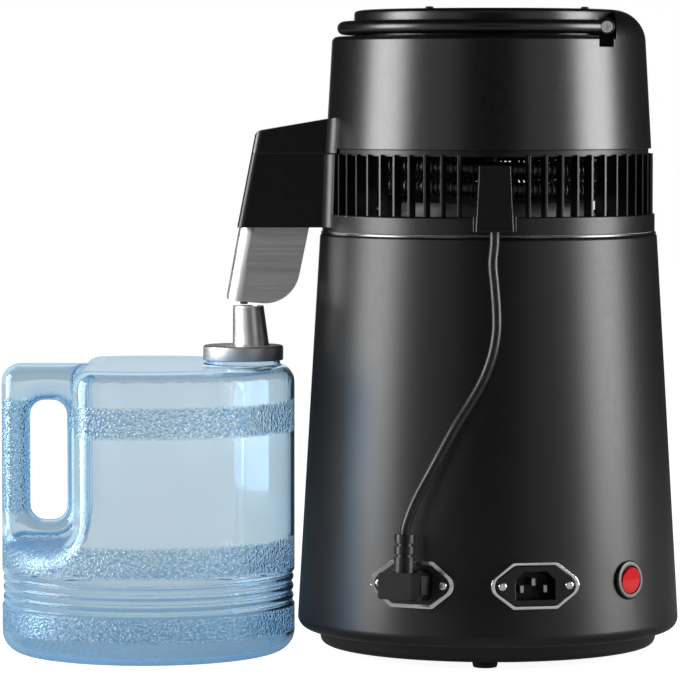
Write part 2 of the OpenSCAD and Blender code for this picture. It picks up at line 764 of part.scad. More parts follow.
module vent_ring() {
    pitch = 360 / fin_count;
    gland_clear = 9;
    spout_clear = asin(spout_w / 2 / fin_out_r);
    color("#18181a") at_unit() {
        difference() {
            union() {
                rotate_extrude() {
                    rounded_outline([[lip_out_r - 1.7, lip_z0], [lip_out_r, lip_z0], [lip_out_r, lip_z1, 1],
                                     [fin_in_r, lip_z1], [fin_in_r, shelf_z1], [fin_in_r - 4, shelf_z1],
                                     [fin_in_r - 4, shelf_z0], [lip_out_r - 1.7, shelf_z0]]);
                    polygon([[hoop_out_r - hoop_t, fin_z1 - 1], [hoop_out_r + 1.2, fin_z1 - 1],
                             [hoop_out_r + 1.2, cover_z0], [hoop_out_r, cover_z0], [hoop_out_r, hoop_top],
                             [hoop_out_r - hoop_t, hoop_top]]);
                }
                for (i = [0 : fin_count - 1])
                    let (a = i * pitch, from_spout = abs(a - 270), from_gland = min(a, 360 - a))
                        if (from_spout > spout_clear + 1 && from_gland > gland_clear)
                            rotate(a) translate([-fin_t / 2, -fin_out_r, lip_z1 - over])
                                cube([fin_t, fin_out_r - fin_in_r, fin_h + over]);
                difference() {
                    spout_form(spout_z0, fin_z1, 0);
                    spout_form(spout_z0 + wall, fin_z1 + over, wall);
                    translate([0, 0, shelf_z1]) cylinder(r = fin_in_r, h = fin_z1);
                }
            }
            translate([spigot_front - fit_gap, -nozzle_w / 2 + nozzle_step - fit_gap, spout_z0 - over])
                cube([spigot_l + 2 * fit_gap, nozzle_w - 2 * nozzle_step + 2 * fit_gap, wall + 2 * over]);
            translate([0, gland_y, lip_z0 - over]) cylinder(d = cord_d + 1.2, h = 12);
            translate([0, 0, shelf_z0 - 20]) cylinder(r = fin_in_r - 4, h = 40);
        }
    }
}

module top_grille() {
    hub_r = 20;
    pitch = (grille_r - hub_r - 4.5) / 5;
    color("#151517") at_unit() translate([0, 0, top_z - grille_t]) difference() {
        cylinder(r = grille_r, h = grille_t);
        difference() {
            for (ring = [0 : 4]) translate([0, 0, -over]) difference() {
                cylinder(r = hub_r + (ring + 1) * pitch - 1, h = grille_t + 2 * over);
                translate([0, 0, -over]) cylinder(r = hub_r + ring * pitch + 2, h = grille_t + 4 * over);
            }
            for (a = [0 : 45 : 135]) rotate(a) translate([-grille_r, -2, -2 * over])
                cube([2 * grille_r, 4, grille_t + 4 * over]);
        }
    }
}

module grille_screws() {
    color("#0f0f10") at_unit() around(grille_screw_angles) translate([0, -grille_screw_r, top_z]) {
        rotate_extrude() rounded_outline([[0, 0], [2.4, 0], [2.4, 1, 0.8], [0, 1]]);
        translate([0, 0, -wall - 2]) cylinder(d = 2, h = wall + 2);
    }
}

module carry_handle() {
    color("#131314") at_unit() translate([0, 0, handle_z]) difference() {
        union() {
            rotate(handle_angle) rotate_extrude(angle = 360 - 2 * handle_angle)
                translate([handle_r, 0]) circle(r = bar_r);
            for (side = [-1, 1]) translate([pivot_x, side * pivot_y, 0]) rotate([90, 0, 0])
                cylinder(r = lug_r, h = lug_w, center = true);
        }
        translate([pivot_x, 0, 0]) rotate([90, 0, 0])
            cylinder(d = pivot_screw_d + 2 * run_gap, h = 3 * handle_r, center = true);
        for (side = [0, 180]) translate([pivot_x, 0, 0]) rotate([90, 0, side])
            translate([0, 0, pivot_y + lug_w / 2]) cylinder(r = pivot_head_r + move_gap, h = handle_r);
    }
}

module handle_screws() {
    inner = pivot_y - lug_w / 2 - 7;
    color("#1d1d1f") at_unit() for (side = [0, 180]) translate([pivot_x, 0, handle_z])
        rotate([90, 0, side]) difference() {
            union() {
                translate([0, 0, inner]) cylinder(d = pivot_screw_d, h = lug_w + 7.4);
                translate([0, 0, pivot_y + lug_w / 2 + move_gap]) cylinder(r = pivot_head_r, h = 1.6);
            }
            for (turn = [0, 90]) rotate(turn) translate([-2, -0.4, pivot_y + lug_w / 2 + move_gap + 0.8])
                cube([4, 0.8, 2]);
        }
}

module motor_bracket() {
    arm = hoop_out_r - 1;
    color("#9fa2a4") at_unit() translate([0, 0, bracket_z]) difference() {
        union() {
            cylinder(d = motor_d + 8, h = bracket_t);
            for (turn = [0, 90]) rotate(turn + 45) translate([-arm, -7, 0]) cube([2 * arm, 14, bracket_t]);
        }
        translate([0, 0, -over]) cylinder(d = shaft_d + 10, h = bracket_t + 2 * over);
        around([45 : 90 : 315]) translate([0, -bracket_screw_r, -over])
            cylinder(d = 2 + 2 * fit_gap, h = bracket_t + 2 * over);
    }
}

module bracket_screws() {
    color("#c0c2c4") at_unit() around([45 : 90 : 315]) translate([0, -bracket_screw_r, motor_z0])
        cylinder(r = 1.9, h = 1.4);
}

module fan_motor() {
    color("#7b7d80") at_unit() difference() {
        union() {
            translate([0, 0, motor_z0]) cylinder(d = motor_d, h = motor_z1 - motor_z0 - 6);
            translate([0, 0, motor_z1 - 6]) cylinder(d1 = motor_d, d2 = motor_d * 0.6, h = 4);
            translate([0, 0, motor_z1 - 2]) cylinder(d = collar_d + 5, h = 2);
        }
        translate([0, 0, motor_z0 - over]) cylinder(d = shaft_d + 2 * run_gap, h = motor_h + 2 * over);
    }
}

module fan_rotor() {
    pitch = 32;
    blade_t = 1.6;
    chord = 3 * hub_h;
    color("#2a2b2d") at_unit() {
        translate([0, 0, fan_z0]) cylinder(d = hub_d, h = hub_h);
        translate([0, 0, motor_z0 + 4]) cylinder(d = shaft_d, h = fan_z0 - motor_z0);
        translate([0, 0, motor_z1 + 0.5]) cylinder(d = collar_d, h = fan_z0 - motor_z1);
        intersection() {
            translate([0, 0, fan_z0]) cylinder(r = fan_r, h = hub_h);
            for (i = [0 : blade_count - 1]) rotate(i * 360 / blade_count)
                translate([hub_d / 2 - 4, 0, fan_z0 + hub_h / 2]) rotate([pitch, 0, 0])
                    translate([0, -chord / 2, -blade_t / 2]) cube([2 * fan_r, chord, blade_t]);
        }
    }
}

// The coil rises from the lid, winds down in a helix and leaves through the spout
coil_steps = cool_fins;
coil_last = 360 * coil_turns;
function coil_point(a) = [coil_r * cos(a), coil_r * sin(a), coil_z1 - a * coil_pitch / 360];
coil_path = concat(
    [[0, 0, shelf_z1 + 15], [0, 0, shelf_z1 + 26], [0, 0, coil_z1 - 9], [2.5, 0, coil_z1 - 2.5],
     [9, 0, coil_z1], [30, 0, coil_z1], [coil_r - 22, 0, coil_z1], [coil_r - 12, 1.5, coil_z1],
     [coil_r - 5, 6.5, coil_z1]],
    [for (i = [2 : coil_turns * coil_steps - 2]) coil_point(i * 360 / coil_steps)],
    [[-coil_r - 1, 9, coil_z0], [-coil_r - 6, 3.2, coil_z0], [-coil_r - 13, 0.6, coil_z0],
     [-coil_r - 22, 0, coil_z0], [outlet_drop_x + 16, 0, coil_z0], [outlet_drop_x + 7, 0, coil_z0 - 1.4],
     [outlet_drop_x + 1.6, 0, coil_z0 - 6.4], [outlet_drop_x, 0, coil_z0 - 13],
     [outlet_drop_x, 0, coil_z0 - 22]]);
// Least gap of the coil to itself, over points more than a quarter turn apart
coil_gap = min([for (i = [0 : len(coil_path) - 1], k = [0 : len(coil_path) - 1])
    if (k - i > coil_steps / 4) norm(coil_path[i] - coil_path[k])]) - coil_tube_d;
echo(coil_gap = coil_gap);

module condenser_coil() {
    color("#b9bcbf") at_unit() tube(coil_path, coil_tube_r, 8, [1, 0, 0]);
}

module cooling_fins() {
    step = 360 / cool_fins;
    color("#aeb2b5") at_unit() for (a = [step * 3 : step : coil_last - step * 3])
        translate(coil_point(a)) rotate([0, 0, a]) rotate([90, 0, 0]) difference() {
            cylinder(d = cool_fin_d, h = 0.8, center = true);
            cylinder(r = coil_tube_r + fit_gap, h = 2, center = true);
        }
}

module steam_lid() {
    lid_r = fin_in_r - fit_gap;
    neck_r = coil_tube_r + fit_gap;
    neck_out_r = neck_r + 3;
    dome_r = coil_r - cool_fin_d / 2 - 2;
    crown_r = dome_r - 5;
    crown_z = shelf_z1 + 13;
    dome_top = steam_neck_top - 3;
    color("#c9cbcc") at_unit() rotate_extrude() difference() {
        polygon([[0, shelf_z1], [lid_r, shelf_z1], [lid_r, shelf_z1 + steel], [dome_r, shelf_z1 + steel],
                 [crown_r, crown_z], [neck_out_r, dome_top], [neck_out_r, steam_neck_top],
                 [0, steam_neck_top]]);
        polygon([[-over, shelf_z1 - over], [dome_r - 1.2 * steel, shelf_z1 - over],
                 [dome_r - 1.2 * steel, shelf_z1], [crown_r - 0.7 * steel, crown_z - steel],
                 [neck_out_r, dome_top - steel], [neck_r, dome_top - steel],
                 [neck_r, steam_neck_top + over], [-over, steam_neck_top + over]]);
    }
}

module lid_gasket() {
    color("#d9d6cf") at_unit() rotate_extrude()
        polygon([[fin_in_r - 3.6, rim_z], [lip_out_r - 1.7 - fit_gap, rim_z],
                 [lip_out_r - 1.7 - fit_gap, shelf_z0], [fin_in_r - 3.6, shelf_z0]]);
}

// The nozzle: a side outline with a big rear corner, crossed with a plan whose front corners are round
module nozzle_form(inset, top) {
    front_top = spout_front + 1;
    front_foot = tip_x - 10.5;
    lean = atan((front_top - front_foot) / (nozzle_top - tip_z - 3.2));
    half = nozzle_w / 2 - inset;
    intersection() {
        rotate([90, 0, 0]) translate([0, 0, -half]) linear_extrude(2 * half)
            rounded_outline([[front_foot + inset, tip_z + 3.2 + inset, 2.5],
                             [nozzle_rear - nozzle_rake - inset, tip_z + inset, 21 - inset],
                             [nozzle_rear - inset + (top - nozzle_top) * nozzle_rake / nozzle_depth, top],
                             [front_top + inset + (top - nozzle_top) * tan(lean), top]]);
        translate([front_top + inset, 0, nozzle_top]) rotate([0, lean, 0]) translate([0, 0, -80])
            linear_extrude(120) rounded_outline([[0, -half, 9 - inset], [90, -half], [90, half], [0, half, 9 - inset]]);
    }
}
module nozzle_spigot_form(inset) {
    translate([spigot_front + inset, -nozzle_w / 2 + nozzle_step + inset, nozzle_top - nozzle_step])
        cube([spigot_l - 2 * inset, nozzle_w - 2 * nozzle_step - 2 * inset, nozzle_spigot + nozzle_step]);
}

module spout_nozzle() {
    color("#a7a9ab") at_unit() difference() {
        union() {
            nozzle_form(0, nozzle_top);
            nozzle_spigot_form(0);
        }
        nozzle_form(nozzle_t, nozzle_top - nozzle_t);
        nozzle_spigot_form(nozzle_t);
        translate([0, 0, over]) nozzle_spigot_form(nozzle_t);
        translate([tip_x, 0, tip_z - over]) cylinder(d = tip_d + 2 * fit_gap, h = 8);
    }
}

module outlet_tip() {
    color("#0d0d0e") at_unit() translate([tip_x, 0, tip_z]) difference() {
        union() {
            cylinder(d = tip_d, h = tip_h);
            translate([0, 0, tip_h - 2.6]) cylinder(d = tip_d + 4, h = 1.6);
        }
        translate([0, 0, -over]) cylinder(d = tip_d - 2, h = tip_h + 2 * over);
    }
}

module charcoal_cup() {
    floor_z = tip_z + tip_h + 3;
    ceiling_z = nozzle_top - nozzle_t - 2;
    cup_h = 0.7 * (ceiling_z - floor_z);
    reach = 2 * nozzle_depth + 2 * nozzle_w;
    color("#e4e2dc") at_unit() difference() {
        intersection() {
            nozzle_form(nozzle_t + 0.3, ceiling_z);
            translate([tip_x - reach / 2, -reach / 2, floor_z]) cube([reach, reach, cup_h]);
        }
        intersection() {
            nozzle_form(nozzle_t + 0.3 + cup_t, nozzle_top);
            translate([tip_x - reach / 2, -reach / 2, floor_z + cup_t]) cube([reach, reach, reach]);
        }
        for (i = [-2 : 2], k = [0 : 2]) translate([tip_x + 4 + k * 6, i * 6, floor_z - over])
            cylinder(d = 2.4, h = cup_t + 2 * over);
    }
}

module cord_gland() {
    bottom = rim_z + 2.8;
    top = fin_z1 - 6;
    out = -gland_y + 5;
    color("#121213") at_unit() difference() {
        union() {
            rotate([90, 0, 0]) linear_extrude(out)
                polygon([[-10.8, bottom], [10.8, bottom], [9, top], [-9, top]]);
            translate([-12.5, -out + 2, bottom]) cube([25, out, lip_h - 1.3]);
        }
        translate([0, 0, lip_z0 - 2]) cylinder(r = lip_out_r + fit_gap, h = lip_z1 - lip_z0 + 2 + fit_gap);
        translate([0, 0, lip_z1 - over]) cylinder(r = fin_in_r, h = fin_h);
        translate([0, gland_y, bottom - over]) cylinder(d = cord_d + 1, h = lip_h + 3.5);
    }
}

module jug_round(inset) {
    rotate_extrude() rounded_outline([[0, inset], [jug_r - inset, inset, 13 - inset],
                                      [jug_r - inset, jug_h - inset, 11 - inset], [0, jug_h - inset]]);
}
module rib_zone(inset) {
    low = rib_z - 1.75 * rib_pitch - inset;
    high = rib_z + 1.75 * rib_pitch + inset;
    rotate_extrude() difference() {
        polygon([[jug_r - 1.8 - inset, low + 1.8], [jug_r + 2, low - 2], [jug_r + 2, high + 2],
                 [jug_r - 1.8 - inset, high - 1.8]]);
        if (inset == 0) for (i = [-1 : 1]) translate([jug_r - 3.2, rib_z + i * rib_pitch]) circle(r = 2.6);
    }
}
// The space beside the handle, seen from the front, and the finger window
module grip_outline(grow) {
    edge = -jug_r + grip_zone_w + grow;
    rounded_outline([[edge, jug_h + 20], [-jug_r - 20, jug_h + 20], [-jug_r - 20, grip_floor_z - grow],
                     [edge, grip_floor_z - grow, 15 + grow]]);
}
module grip_pockets(grow) {
    for (side = [-1, 1]) scale([1, side, 1]) translate([0, grip_t / 2 - grow, 0])
        rotate([90, 0, 0]) mirror([0, 0, 1]) linear_extrude(jug_r) grip_outline(grow);
}
module window(grow) {
    translate([-jug_r + grip_bar_w + window_w / 2, 0, window_z + window_h / 2]) rotate([90, 0, 0])
        linear_extrude(2 * jug_r, center = true)
            rounded_rect([window_w + 2 * grow, window_h + 2 * grow], 9 + grow);
}

module jug_body() {
    color([0.55, 0.74, 0.88, 0.5]) at_jug() difference() {
        union() {
            difference() {
                jug_round(0);
                rib_zone(0);
                grip_pockets(0);
                window(0);
            }
            translate([neck_x, 0, jug_h - jug_t]) cylinder(d = neck_d, h = neck_top - jug_h + jug_t);
            translate([neck_x, 0, jug_h - jug_t]) cylinder(d = neck_d + 2.6, h = jug_t + 1.6);
        }
        difference() {
            jug_round(jug_t);
            rib_zone(jug_t);
            grip_pockets(jug_t);
            window(jug_t);
        }
        translate([neck_x, 0, jug_h - 3 * jug_t]) cylinder(d = neck_d - 6, h = 40);
        translate([0, 0, -over]) cylinder(r1 = jug_r - 26, r2 = jug_r - 28, h = 1.2 + over);
    }
}

module jug_cap() {
    color("#c4c6c8") at_neck() difference() {
        translate([0, 0, cap_z0]) rotate_extrude()
            rounded_outline([[0, 0], [cap_d / 2, 0], [cap_d / 2, cap_h, 1.4], [0, cap_h]]);
        translate([0, 0, cap_z0 - over]) cylinder(d = neck_d + 2 * move_gap, h = cap_h - 1.4 + over);
        translate([funnel_x, 0, cap_z0]) cylinder(d = funnel_bore_d, h = 2 * cap_h);
    }
}

funnel_x = 3.6;
funnel_bore_d = 13;
funnel_lean = 3.6;
module cap_funnel() {
    color("#8d9093") at_neck() difference() {
        intersection() {
            translate([funnel_x + 1, 0, cap_z1]) rotate([0, -funnel_lean, 0]) translate([0, 0, -3])
                cylinder(d1 = funnel_foot_d + 0.4, d2 = funnel_mouth_d, h = funnel_h + 3);
            translate([-40, -40, cap_z1]) cube([80, 80, funnel_h - 0.6]);
        }
        translate([funnel_x, 0, cap_z1 - over]) cylinder(d = funnel_bore_d, h = 2 * funnel_h);
    }
}

module cap_seal() {
    color("#e6e6e2") at_neck() translate([0, 0, neck_top + move_gap / 2]) difference() {
        cylinder(d = neck_d, h = 0.8 - move_gap / 2);
        translate([0, 0, -over]) cylinder(d = neck_d - 8, h = 4);
    }
}

outer_shell();
boiler_tank();
heating_plate();
heating_element();
heater_clamp();
tie_rods();
clamp_nuts();
thermostats();
base_pan();
rubber_feet();
base_screws();
inlet_frame();
mains_inlet();
inlet_pins();
outlet_frame();
head_outlet();
socket_screws();
switch_bezel();
switch_rocker();
head_plug();
plug_pins();
cord_lower();
cord_upper();
head_cover();
vent_ring();
top_grille();
grille_screws();
carry_handle();
handle_screws();
motor_bracket();
bracket_screws();
fan_motor();
fan_rotor();
condenser_coil();
cooling_fins();
steam_lid();
lid_gasket();
spout_nozzle();
outlet_tip();
charcoal_cup();
cord_gland();
jug_body();
jug_cap();
cap_funnel();
cap_seal();
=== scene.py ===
"""Looks of a countertop water distiller with its jug. Everything is in metres, in the CAD part's frame."""

import json
import math

import bpy
import numpy as np
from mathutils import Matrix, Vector


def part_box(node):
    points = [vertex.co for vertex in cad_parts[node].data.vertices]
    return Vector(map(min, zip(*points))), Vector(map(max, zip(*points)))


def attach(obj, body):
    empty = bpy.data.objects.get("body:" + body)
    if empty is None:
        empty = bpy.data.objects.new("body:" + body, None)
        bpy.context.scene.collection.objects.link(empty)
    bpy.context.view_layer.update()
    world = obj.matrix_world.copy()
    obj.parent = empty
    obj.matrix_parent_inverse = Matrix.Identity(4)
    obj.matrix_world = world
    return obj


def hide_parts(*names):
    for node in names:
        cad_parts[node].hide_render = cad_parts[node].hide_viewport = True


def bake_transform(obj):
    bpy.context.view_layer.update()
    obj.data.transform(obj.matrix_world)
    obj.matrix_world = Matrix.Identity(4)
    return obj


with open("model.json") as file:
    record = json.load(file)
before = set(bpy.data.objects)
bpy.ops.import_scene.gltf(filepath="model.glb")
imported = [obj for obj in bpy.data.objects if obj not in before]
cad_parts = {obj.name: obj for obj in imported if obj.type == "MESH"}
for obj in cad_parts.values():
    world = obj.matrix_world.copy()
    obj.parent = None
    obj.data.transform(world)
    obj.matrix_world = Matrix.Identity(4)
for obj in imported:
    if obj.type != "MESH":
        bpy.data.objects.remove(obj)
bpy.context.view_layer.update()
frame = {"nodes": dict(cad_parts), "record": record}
nodes = frame["nodes"]

# Axes of the boiler and of the jug, and the jug's radius
UNIT_X = (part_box("outer_shell")[0].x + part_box("outer_shell")[1].x) / 2
JUG_X = (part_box("jug_body")[0].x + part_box("jug_body")[1].x) / 2
JUG_RADIUS = (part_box("jug_body")[1].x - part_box("jug_body")[0].x) / 2


# Shader helpers

BEVEL_SAMPLES = 6


class Shader:
    """The nodes of a material or of the world, with short calls to add and join them."""

    def __init__(self, owner, output="ShaderNodeOutputMaterial"):
        owner.use_nodes = True
        self.owner = owner
        self.tree = owner.node_tree
        self.tree.nodes.clear()
        self.output = self.add(output)

    def add(self, kind, inputs=None, **settings):
        """A new node with the given settings and constant inputs."""
        node = self.tree.nodes.new(kind)
        for key, value in settings.items():
            setattr(node, key, value)
        for key, value in (inputs or {}).items():
            node.inputs[key].default_value = value
        return node

    def link(self, source, target):
        self.tree.links.new(source, target)

    def show(self, source):
        """Makes a node's output the surface that is seen."""
        self.link(source, self.output.inputs["Surface"])

    def principled(self, inputs):
        """A principled surface that is seen as it is."""
        node = self.add("ShaderNodeBsdfPrincipled", inputs)
        self.show(node.outputs[0])
        return node

    def place(self, stretch=(1, 1, 1)):
        """Object coordinates, which are the part's own metres, times a stretch along each axis."""
        mapping = self.add("ShaderNodeMapping", {"Scale": stretch})
        self.link(self.add("ShaderNodeTexCoord").outputs["Object"], mapping.inputs["Vector"])
        return mapping.outputs["Vector"]

    def split_place(self):
        """X, Y and Z of the object coordinates."""
        split = self.add("ShaderNodeSeparateXYZ")
        self.link(self.place(), split.inputs[0])
        return split.outputs

    def noise(self, scale, detail, stretch):
        node = self.add("ShaderNodeTexNoise", {"Scale": scale, "Detail": detail})
        self.link(self.place(stretch), node.inputs["Vector"])
        return node.outputs["Fac"]

    def ramp(self, value, low, high, out_low, out_high, **settings):
        """Maps low to out_low and high to out_high, and holds beyond them."""
        limits = {"From Min": low, "From Max": high, "To Min": out_low, "To Max": out_high}
        node = self.add("ShaderNodeMapRange", limits, **settings)
        self.link(value, node.inputs["Value"])
        return node.outputs["Result"]

    def math(self, operation, first, second):
        node = self.add("ShaderNodeMath", operation=operation)
        self.link(first, node.inputs[0])
        self.link(second, node.inputs[1])
        return node.outputs[0]

    def times(self, first, second):
        return self.math("MULTIPLY", first, second)

    def mix(self, factor, first, second):
        node = self.add("ShaderNodeMixShader")
        for number, source in enumerate((factor, first, second)):
            self.link(source, node.inputs[number])
        return node.outputs[0]

    def bump(self, height, strength, distance, edge=0.0):
        """A bump, over edges that are shaded as if rounded by the given radius."""
        node = self.add("ShaderNodeBump", {"Strength": strength, "Distance": distance})
        self.link(height, node.inputs["Height"])
        if edge:
            rounded = self.add("ShaderNodeBevel", {"Radius": edge}, samples=BEVEL_SAMPLES)
            self.link(rounded.outputs["Normal"], node.inputs["Normal"])
        return node.outputs["Normal"]


# Solid surfaces

GRAIN_STRENGTH = 0.5
GRAIN_DETAIL = 2
PATCH_DETAIL = 4
# How much coarser than the grain the patches of roughness are, and the range of their noise that counts
PATCH_COARSENESS = 6
PATCH_RANGE = (0.3, 0.7)


def surface(name, color, roughness, metallic=0.0, grain=900, grain_depth=0.00002, vary=0.25,
            stretch=(1, 1, 1), edge=0.0, specular=0.5):
    """A solid surface whose roughness varies a little and whose grain is a fine bump."""
    shader = Shader(bpy.data.materials.new(name))
    bsdf = shader.principled({
        "Base Color": (*color, 1), "Metallic": metallic, "Specular IOR Level": specular,
    })
    patches = shader.noise(grain / PATCH_COARSENESS, PATCH_DETAIL, stretch)
    rough = shader.ramp(patches, *PATCH_RANGE, roughness * (1 - vary), roughness * (1 + vary))
    shader.link(rough, bsdf.inputs["Roughness"])
    height = shader.noise(grain, GRAIN_DETAIL, stretch)
    shader.link(shader.bump(height, GRAIN_STRENGTH, grain_depth, edge), bsdf.inputs["Normal"])
    return shader.owner


BLACK = (0.003, 0.003, 0.0035)
MOULDED = {"grain": 2600, "vary": 0.1}
SATIN = {"color": BLACK, "roughness": 0.38, "grain_depth": 0.00003, **MOULDED}
METAL = {"metallic": 1.0, "grain": 700}
# Brush lines that run level: long across, fine in height
BRUSHED = {"grain_depth": 0.00001, "vary": 0.12, "stretch": (0.06, 0.06, 6), **METAL}

LOOKS = {
    "shell_paint": dict(SATIN, roughness=0.37, vary=0.08),
    "black_gloss": dict(MOULDED, color=(0.002, 0.002, 0.0025), roughness=0.31, grain_depth=0.00001,
                        edge=0.0009, specular=0.75),
    "ring_gloss": dict(MOULDED, color=BLACK, roughness=0.35, grain_depth=0.00002, edge=0.0006),
    "black_satin": dict(SATIN, edge=0.0008),
    "plug_satin": dict(SATIN, edge=0.0003),
    "rubber": dict(color=(0.012, 0.012, 0.012), roughness=0.6, grain=1500),
    "cord_rubber": dict(color=(0.010, 0.010, 0.011), roughness=0.33, grain=1200),
    "chrome": dict(color=(0.90, 0.91, 0.92), roughness=0.16, metallic=1.0, grain=300, grain_depth=0.000005),
    "steel": dict(BRUSHED, color=(0.62, 0.63, 0.64), roughness=0.30),
    "polished_steel": dict(BRUSHED, color=(0.92, 0.92, 0.92), roughness=0.36),
    "cap_steel": dict(BRUSHED, color=(0.78, 0.78, 0.78), roughness=0.44),
    # Painted shade: the steam lid, the coil and the aluminium get dark colours that stand in for the shade
    # inside the head
    "lid_steel_painted_shade": dict(METAL, color=(0.14, 0.14, 0.15), roughness=0.45),
    "coil_steel_painted_shade": dict(METAL, color=(0.10, 0.10, 0.11), roughness=0.5),
    "aluminium": dict(METAL, color=(0.16, 0.16, 0.17), roughness=0.5),
    "brass": dict(METAL, color=(0.72, 0.58, 0.30), roughness=0.25),
    "nickel": dict(color=(0.60, 0.60, 0.58), roughness=0.35, metallic=1.0, grain=500),
    "zinc": dict(color=(0.80, 0.80, 0.79), roughness=0.5, metallic=0.35, grain=500),
    "red_plastic": dict(color=(0.62, 0.004, 0.010), roughness=0.3, grain=400),
    "silicone": dict(color=(0.82, 0.81, 0.78), roughness=0.5),
    "ceramic": dict(color=(0.80, 0.77, 0.70), roughness=0.5),
    "white_plastic": dict(color=(0.85, 0.84, 0.80), roughness=0.45),
}

TANK_ROUGHNESS = 0.26
TANK_GREY = 0.62
# Painted shade: the dark grey of the rim where it shows in the seam between boiler and head
TANK_RIM_SHADE_GREY = 0.13
# How far below its top the tank's colour starts to darken with painted shade along the rim in the seam, and
# where it is fully dark
TANK_RIM_START = 0.006
TANK_RIM_END = 0.004


def tank_material():
    """Steel that is bright inside the tank, with painted shade darkening the rim that shows in the seam."""
    shader = Shader(bpy.data.materials.new("tank_steel"))
    bsdf = shader.principled({"Metallic": 1.0, "Roughness": TANK_ROUGHNESS})
    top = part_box("boiler_tank")[1].z
    height = shader.split_place()["Z"]
    # Painted shade: the steel's colour darkens towards the rim that shows in the seam
    grey_with_rim_shade = shader.ramp(height, top - TANK_RIM_START, top - TANK_RIM_END, TANK_GREY, TANK_RIM_SHADE_GREY)
    shader.link(grey_with_rim_shade, bsdf.inputs["Base Color"])
    lines = shader.noise(BRUSHED["grain"], GRAIN_DETAIL, BRUSHED["stretch"])
    shader.link(shader.bump(lines, GRAIN_STRENGTH, BRUSHED["grain_depth"]), bsdf.inputs["Normal"])
    return shader.owner


# Jug plastic

# Heights between which the wall and the handle are pebbled, and the width of the handle's pebbled part
PEBBLED_BANDS = ((0.0145, 0.0285), (0.0525, 0.0700), (0.1348, 0.1525))
PEBBLED_GRIP = (0.085, 0.139)
PEBBLED_GRIP_WIDTH = 0.018
# Softness of the bands' edges, and the distance behind the jug's axis within which the pebbles end
PEBBLE_FADE = 0.0012
PEBBLE_BACK = 0.02
PEBBLE_SCALE = 740
PEBBLE_DEPTH = 0.0012
# Painted shade between the pebbles: over this range of the cells' distance the wall's colour turns to a
# darker blue
PEBBLE_SHADE_RANGE = (0.25, 0.55)
PEBBLE_SHADE_TINT = (0.52, 0.70, 0.82, 1)
JUG_CLEAR = (0.95, 0.95, 0.945, 1)
JUG_IOR = 1.45
JUG_ROUGHNESS = 0.03
GLINT_ROUGHNESS = 0.08
GLINT_SHARE = 0.3
PEBBLE_GLINT = 0.05
MIRRORED_TINT = (0.97, 0.98, 0.985, 1)
WALL_TINT = (0.067, 0.61, 0.944, 1)
WALL_TINT_DENSITY = 90


def pebble_mask(shader):
    """One on the front of the jug's outside, in its pebbled bands and on its handle's, else zero."""
    outside = shader.add("ShaderNodeAttribute", attribute_name="outside")
    place = shader.split_place()

    def fade(axis, edge, before, after):
        return shader.ramp(place[axis], edge - PEBBLE_FADE, edge + PEBBLE_FADE, before, after)

    def band(low, high):
        return shader.times(fade("Z", low, 0, 1), fade("Z", high, 1, 0))

    pebbled = shader.times(band(*PEBBLED_GRIP), fade("X", JUG_X - JUG_RADIUS + PEBBLED_GRIP_WIDTH, 1, 0))
    for low, high in PEBBLED_BANDS:
        pebbled = shader.math("MAXIMUM", pebbled, band(low, high))
    front = shader.ramp(place["Y"], 0.0, PEBBLE_BACK, 1, 0)
    return shader.times(shader.times(pebbled, front), outside.outputs["Fac"])


def jug_material():
    """Clear blue plastic: refracting walls with a blue tint in their thickness, and pebbles outside with
    painted shade between them.
    """
    shader = Shader(bpy.data.materials.new("jug_plastic"))
    mask = pebble_mask(shader)
    cells = shader.add("ShaderNodeTexVoronoi", {"Scale": PEBBLE_SCALE}, feature="SMOOTH_F1")
    shader.link(shader.place(), cells.inputs["Vector"])
    height = cells.outputs["Distance"]
    pebbles = shader.add("ShaderNodeBump", {"Distance": PEBBLE_DEPTH})
    shader.link(height, pebbles.inputs["Height"])
    shader.link(mask, pebbles.inputs["Strength"])
    # Painted shade: the refracted colour turns darker blue between the pebbles
    clear_with_pebble_shade = shader.add("ShaderNodeMix", data_type="RGBA", inputs={"A": JUG_CLEAR, "B": PEBBLE_SHADE_TINT})
    shader.link(shader.times(mask, shader.ramp(height, *PEBBLE_SHADE_RANGE, 0, 1)), clear_with_pebble_shade.inputs["Factor"])

    # Rays that enter the wall, rays that leave it from within, and the gloss outside
    wall = {"IOR": JUG_IOR, "Roughness": JUG_ROUGHNESS}
    entering = shader.add("ShaderNodeBsdfRefraction", wall)
    shader.link(clear_with_pebble_shade.outputs["Result"], entering.inputs["Color"])
    leaving = shader.add("ShaderNodeBsdfPrincipled",
                         {"Base Color": JUG_CLEAR, "Transmission Weight": 1.0, **wall})
    gloss = shader.add("ShaderNodeBsdfAnisotropic", {"Roughness": GLINT_ROUGHNESS})
    for node in (entering, leaving, gloss):
        shader.link(pebbles.outputs["Normal"], node.inputs["Normal"])
    fresnel = shader.add("ShaderNodeFresnel", {"IOR": JUG_IOR})
    glint = shader.math("ADD", shader.ramp(fresnel.outputs[0], 0, 1, 0, GLINT_SHARE),
                        shader.ramp(mask, 0, 1, 0, PEBBLE_GLINT))
    shown = shader.mix(glint, entering.outputs[0], gloss.outputs[0])
    faces = shader.add("ShaderNodeNewGeometry")
    shown = shader.mix(faces.outputs["Backfacing"], shown, leaving.outputs[0])

    # Shadows and mirrors see straight through it
    path = shader.add("ShaderNodeLightPath")
    indirect = shader.math("MAXIMUM", path.outputs["Is Shadow Ray"], path.outputs["Is Reflection Ray"])
    clear = shader.add("ShaderNodeBsdfTransparent", {"Color": MIRRORED_TINT})
    shader.show(shader.mix(indirect, shown, clear.outputs[0]))
    tint = shader.add("ShaderNodeVolumeAbsorption", {"Color": WALL_TINT, "Density": WALL_TINT_DENSITY})
    shader.link(tint.outputs[0], shader.output.inputs["Volume"])
    return shader.owner


